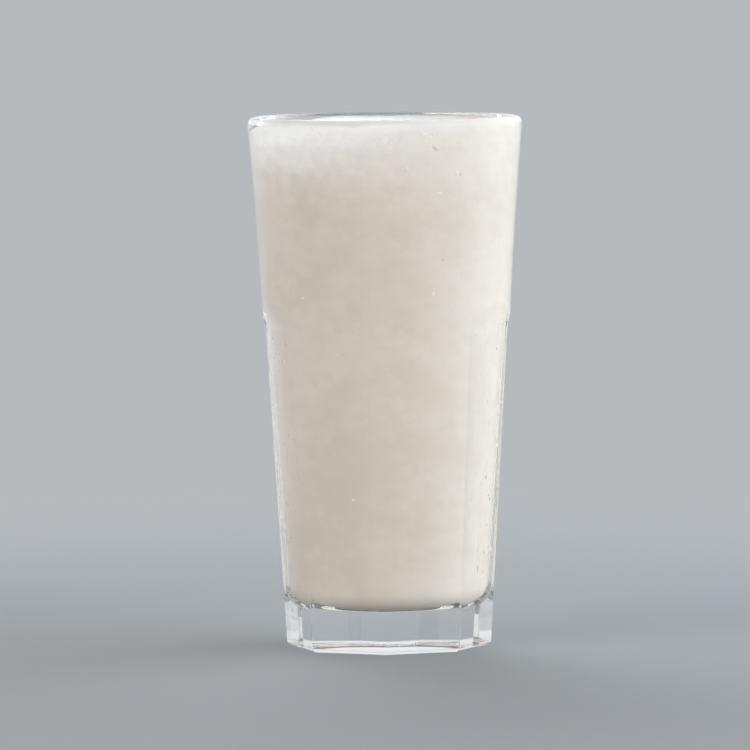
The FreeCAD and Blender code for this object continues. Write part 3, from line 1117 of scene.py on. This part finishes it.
def soft_lamp(name, compass, distance, height, size, brightness, colour, fade=0.3, shown=False):
    """A lamp that faces the glass; compass is degrees from the front, -Y, towards +X."""
    data = bpy.data.lights.new(name, "AREA")
    data.shape = "RECTANGLE"
    data.size, data.size_y = size
    data.energy = brightness * math.pi * size[0] * size[1]
    data.color = colour
    data.use_nodes = True
    cloth = Graph(data.node_tree)
    spot = cloth.node("ShaderNodeNewGeometry", out="Parametric")
    across, up = cloth.part(spot, "X"), cloth.part(spot, "Y")
    sides = cloth.step_up(across, 0.0, fade) * cloth.step_up(across, 1.0, 1 - fade)
    ends = cloth.step_up(up, 0.0, 0.25) * cloth.step_up(up, 1.0, 0.75)
    glow = cloth.node("ShaderNodeEmission", sockets={"Color": WHITE, "Strength": sides * ends})
    cloth.node("ShaderNodeOutputLight", sockets={"Surface": glow})
    lamp = bpy.data.objects.new(name, data)
    turn = math.radians(compass)
    lamp.location = (distance * math.sin(turn), -distance * math.cos(turn), height)
    middle = GLASS_HEIGHT / 2
    aim = Vector((0, 0, middle + 0.6 * (height - middle)))
    lamp.rotation_euler = (aim - lamp.location).to_track_quat("-Z", "Y").to_euler()
    lamp.visible_transmission = False
    lamp.visible_camera = False
    lamp.visible_glossy = shown
    bpy.context.scene.collection.objects.link(lamp)
    print(f"{name}: {data.energy:.0f} W at {compass} degrees")


# %% The lamps
soft_lamp("key", 104, 1.25, 0.50, (1.8, 1.0), 6.0, (0.79, 0.91, 1.0))
soft_lamp("front", 59, 1.45, 0.36, (1.6, 1.1), 7.2, (1.0, 0.985, 0.98))
soft_lamp("fill", -51, 1.6, 0.46, (2.2, 1.1), 7.4, (1.0, 0.965, 0.925), fade=0.45)
soft_lamp("rear", -163, 1.2, 0.56, (1.2, 0.8), 10.5, (0.95, 0.98, 1.0))
soft_lamp("right_spark", 132, 0.75, 0.30, (0.3, 0.4), 4.0, (0.90, 0.95, 1.0), shown=True)
soft_lamp("left_spark", -128, 0.80, 0.30, (0.15, 0.3), 6.0, (0.95, 0.98, 1.0), shown=True)

# %% [markdown]
# ## The room
#
# Clear glass shows what is all round it, so above the cove the room is pale too.  As a light
# it is much weaker than it looks, so that the lamps give the drink its round form.  Light
# has to pass many surfaces of glass before it is lost, so the ray limits are raised.

# %% The room
ROOM_SEEN = 0.92
ROOM_LIGHT = 0.4


def white_room():
    """A pale room: plain to the eye and in the glass, and only a weak light."""
    world = bpy.data.worlds.new("room")
    world.use_nodes = True
    room = Graph(world.node_tree)
    strength = ROOM_SEEN + (ROOM_LIGHT - ROOM_SEEN) * room.ray("Is Diffuse Ray")
    air = room.node("ShaderNodeBackground", sockets={"Color": WHITE, "Strength": strength})
    room.node("ShaderNodeOutputWorld", sockets={"Surface": air})
    return world


bpy.context.scene.world = white_room()
bpy.context.scene.view_settings.view_transform = "Standard"
bpy.context.scene.cycles.glossy_bounces = 12
bpy.context.scene.cycles.max_bounces = 16
print(f"the room gives {ROOM_LIGHT / ROOM_SEEN:.0%} of the light that it shows")

# %% [markdown]
# ## The camera
#
# It stands two metres off with a long lens, so the glass tapers by its own shape and hardly by
# perspective.  It is a few degrees above the middle, which opens the rim to a thin ellipse,
# and a little to the right of the front corner.

# %% The camera
AZIMUTH = math.radians(2.67)
ELEVATION = math.radians(4.04)
ROLL = math.radians(-0.49)
DISTANCE = 1.948
SIDE_STEP = -3.62 * MM
AIM_HEIGHT = 82.55 * MM
LENS = 307.6

to_camera = Vector((
    math.sin(AZIMUTH) * math.cos(ELEVATION),
    -math.cos(AZIMUTH) * math.cos(ELEVATION),
    math.sin(ELEVATION),
))
to_right = Vector((math.cos(AZIMUTH), math.sin(AZIMUTH), 0))
aim = to_right * SIDE_STEP + Vector((0, 0, AIM_HEIGHT))
camera_data = bpy.data.cameras.new("camera")
camera_data.lens = LENS
camera_data.sensor_width = 36.0
camera_data.clip_end = 30.0
camera = bpy.data.objects.new("camera", camera_data)
camera.matrix_world = (
    Matrix.Translation(aim + to_camera * DISTANCE)
    @ (-to_camera).to_track_quat("-Z", "Y").to_matrix().to_4x4()
    @ Matrix.Rotation(ROLL, 4, "Z")
)
bpy.context.scene.collection.objects.link(camera)
bpy.context.scene.camera = camera
print(f"camera {DISTANCE:.2f} m away, {math.degrees(ELEVATION):.1f} degrees up")
